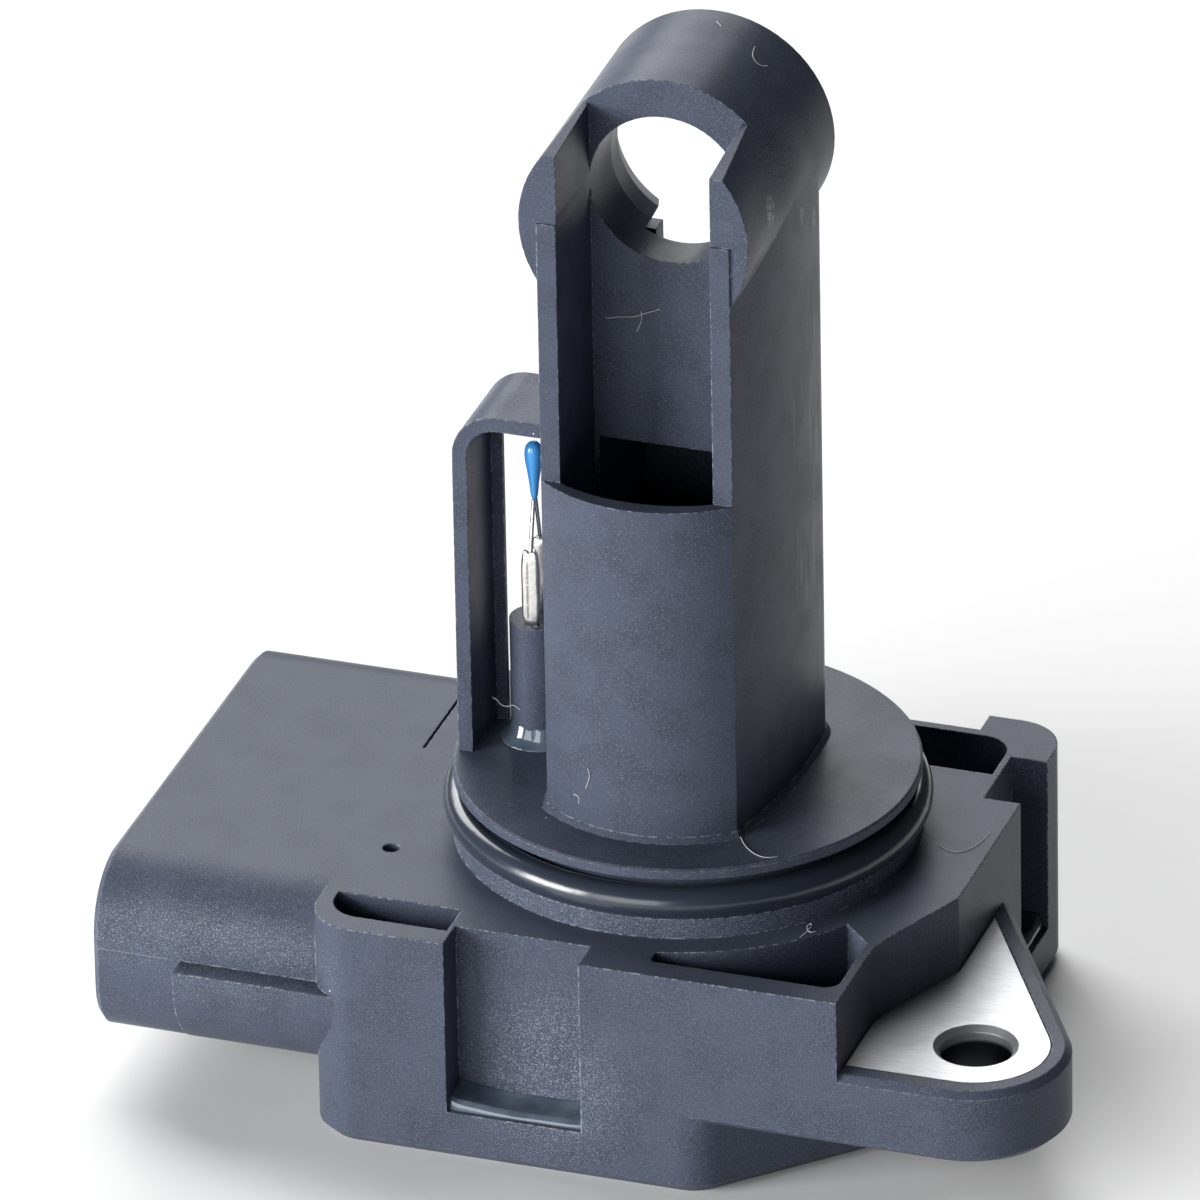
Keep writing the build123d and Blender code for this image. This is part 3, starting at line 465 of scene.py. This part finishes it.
# %% Sealant in the recesses
def poured(name, node, crown):
    """A pool as long and wide as a solid, whose height in millimetres is crown(along X, along Y)."""
    low, high = (Vector(corner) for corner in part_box(node))
    size = high - low
    mesh = bmesh.new()
    place = Matrix.Translation(((low.x + high.x) / 2, (low.y + high.y) / 2, low.z))
    stretch = Matrix.Diagonal((size.x, size.y, 1, 1))
    bmesh.ops.create_grid(mesh, x_segments=40, y_segments=40, size=0.5, matrix=place @ stretch)
    body = bmesh.ops.extrude_face_region(mesh, geom=mesh.faces[:])
    for vert in body["geom"]:
        if isinstance(vert, bmesh.types.BMVert):
            along = ((vert.co.x - low.x) / size.x, (vert.co.y - low.y) / size.y)
            vert.co.z += min(crown(*along) * MM, size.z)
    print(name, "open edges:", sum(edge.is_boundary for edge in mesh.edges))
    finished(name, mesh, sealant, [node])


def meniscus(across, depth):
    """Height of the pool: across runs from wall to wall, depth from the open front to the back wall."""
    rounded_front = min(1, depth / 0.16) ** 0.5
    climb = 0.42 * exp(-across * 9) + 0.3 * exp(-(1 - across) * 12) + 0.3 * exp(-(1 - depth) * 5)
    wave = 0.08 * noise.noise(Vector((across * 5, depth * 2.5, 1.7)))
    level = 0.42 - 0.12 * across
    return rounded_front * (level + wave + climb) + 0.02


side_rise = 1.4
poured("front_pour", "front_recess_sealant", meniscus)
poured("side_pour", "side_recess_sealant", lambda depth, along: side_rise * meniscus(along, 1 - depth))

# %% [markdown]
# A part photographed so close shows lint. A few hairs, thinner than a sheet of paper, lie on the disc, the
# top face, the column, the holder and the ring. Each is a smooth curve with a round section.

# %% Lint
hairs = [
    [(4.65, -5.41, 4.49), (5.5, -7.24, 4.5), (6.05, -8.55, 4.49), (6.8, -9.55, 4.5), (7.51, -10.07, 4.49),
     (8.22, -10.22, 4.5), (8.64, -9.84, 4.48)],
    [(14.56, 1.72, 0.03), (15.27, 1.19, 0.05), (15.96, 1.28, 0.04), (16.47, 1.94, 0.05), (16.84, 3.04, 0.04),
     (16.89, 4.04, 0.03)],
    [(10.29, -10.87, 0.05), (10.57, -10.42, 0.2), (10.66, -9.78, 0.3), (10.46, -9.36, 0.2),
     (10.26, -9.66, 0.1), (10.64, -10.28, 0.05), (10.95, -9.94, 0.04)],
    [(3.1, 4.63, 48.12), (3.17, 3.93, 48.09), (3.43, 3.38, 47.95), (3.77, 3.24, 47.75), (4.05, 3.47, 47.56),
     (4.13, 3.73, 47.5)],
    [(0.47, 5.63, 48.86), (0.69, 5.47, 48.84), (0.9, 5.2, 48.81)],
    [(-2.61, -9.94, 8.44), (-2.48, -9.98, 8.09), (-2.56, -9.96, 7.61), (-2.78, -9.88, 7.09)],
    [(-3.62, -9.55, 6.38), (-3.34, -9.67, 6.43), (-3.21, -9.73, 6.22), (-3.28, -9.7, 5.93)],
    [(-11.27, -1.6, 7.35), (-10.97, -1.6, 7.25), (-10.74, -1.6, 6.91), (-10.35, -1.5, 6.8),
     (-10.0, -1.4, 7.0), (-9.63, -1.55, 6.76)],
    [(-3.74, -2.14, 33.2), (-2.9, -2.15, 33.45), (-2.07, -2.14, 33.52), (-1.22, -2.15, 33.96),
     (-0.5, -2.14, 34.26)],
    [(-1.64, -2.14, 33.96), (-1.53, -2.15, 33.53), (-1.72, -2.14, 33.06), (-1.9, -2.13, 32.65)],
]
hair_radius = 0.022
hair_curve = bpy.data.curves.new("lint", "CURVE")
hair_curve.dimensions = "3D"
hair_curve.bevel_depth = hair_radius * MM
hair_curve.bevel_resolution = 1
hair_curve.resolution_u = 8
for hair in hairs:
    spline = hair_curve.splines.new("NURBS")
    spline.points.add(len(hair) - 1)
    for point, spot in zip(spline.points, hair):
        point.co = (*(Vector(spot) * MM), 1)
    spline.order_u = 3
    spline.use_endpoint_u = True
lint_object = bpy.data.objects.new("lint", hair_curve)
bpy.context.scene.collection.objects.link(lint_object)
lint.paint(lint_object)
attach(lint_object, "root")
print("hairs:", len(hairs))

# %% [markdown]
# The part stands on a wide pale floor. The camera looks down at it from far away, as a long lens does,
# so parallel edges stay nearly parallel. Its place was solved from the photograph.

# %% Floor and camera
floor_half = 1.5
floor_level = solid_box[0][2]
floor_mesh = bmesh.new()
bmesh.ops.create_grid(
    floor_mesh, x_segments=1, y_segments=1, size=floor_half, matrix=Matrix.Translation((0, 0, floor_level))
)
floor_data = bpy.data.meshes.new("floor")
floor_mesh.to_mesh(floor_data)
floor_mesh.free()
floor = bpy.data.objects.new("floor", floor_data)
bpy.context.scene.collection.objects.link(floor)
floor_paint = Finish("floor", (0.8, 0.8, 0.8), 0.7)
floor_paint.paint(floor)

camera_turn = radians(19.244)
camera_drop = radians(28.152)
camera_roll = radians(-1.077)
camera_shift = Vector((5.035, -8.958, 1000.0)) * MM
image_width = 1200
focal_pixels = 17423.0
disc_level = 4.45 * MM

right = Vector((cos(camera_turn), sin(camera_turn), 0))
up = Vector((-sin(camera_turn) * sin(camera_drop), cos(camera_turn) * sin(camera_drop), cos(camera_drop)))
ahead = right.cross(up) * -1
turned_right = right * cos(camera_roll) + up * sin(camera_roll)
turned_up = up * cos(camera_roll) - right * sin(camera_roll)
eye = -(turned_right * camera_shift.x + turned_up * camera_shift.y + ahead * camera_shift.z)
eye.z += disc_level

lens = bpy.data.cameras.new("camera")
lens.sensor_width = 36.0
lens.lens = focal_pixels / image_width * lens.sensor_width
lens.clip_start = 0.05
lens.clip_end = 10
camera = bpy.data.objects.new("camera", lens)
camera.matrix_world = Matrix((
    (turned_right.x, turned_up.x, -ahead.x, eye.x),
    (turned_right.y, turned_up.y, -ahead.y, eye.y),
    (turned_right.z, turned_up.z, -ahead.z, eye.z),
    (0, 0, 0, 1),
))
bpy.context.scene.collection.objects.link(camera)
bpy.context.scene.camera = camera
print("camera stands at", [round(value, 3) for value in eye])

# %% [markdown]
# Dark plastic shows its lamps more than its colour. Most of the light comes from two sides: a low softbox
# in front on the left, which models the walls and the column's nose, and one behind on the left, whose
# reflection runs over the top faces. Three weaker ones add to it in front, behind and above. The
# right-hand sides stay dark, with a weak white sky as fill.

# %% Light
lamp_side = 0.42
lamp_distance = 0.8


def softbox(name, turn, height, power):
    """A square area light, placed by its compass turn and its height in degrees, that faces the part."""
    turn, height = radians(turn), radians(height)
    outward = Vector((cos(height) * cos(turn), cos(height) * sin(turn), sin(height)))
    lamp = bpy.data.lights.new(name, "AREA")
    lamp.shape = "SQUARE"
    lamp.size = lamp_side
    lamp.energy = power
    lamp_object = bpy.data.objects.new(name, lamp)
    lamp_object.location = outward * lamp_distance
    lamp_object.rotation_euler = outward.to_track_quat("Z", "Y").to_euler()
    bpy.context.scene.collection.objects.link(lamp_object)


softbox("front left", 224, 10, 12.0)
softbox("front", 262, 14, 2.4)
softbox("behind left", 138, 34, 4.0)
softbox("behind", 108, 30, 2.2)
softbox("above", 110, 65, 2.4)

sky_strength = 0.02
world = bpy.data.worlds.new("studio")
bpy.context.scene.world = world
world.use_nodes = True
sky = world.node_tree.nodes["Background"]
sky.inputs["Color"].default_value = (1, 1, 1, 1)
sky.inputs["Strength"].default_value = sky_strength
bpy.context.scene.view_settings.view_transform = "Standard"
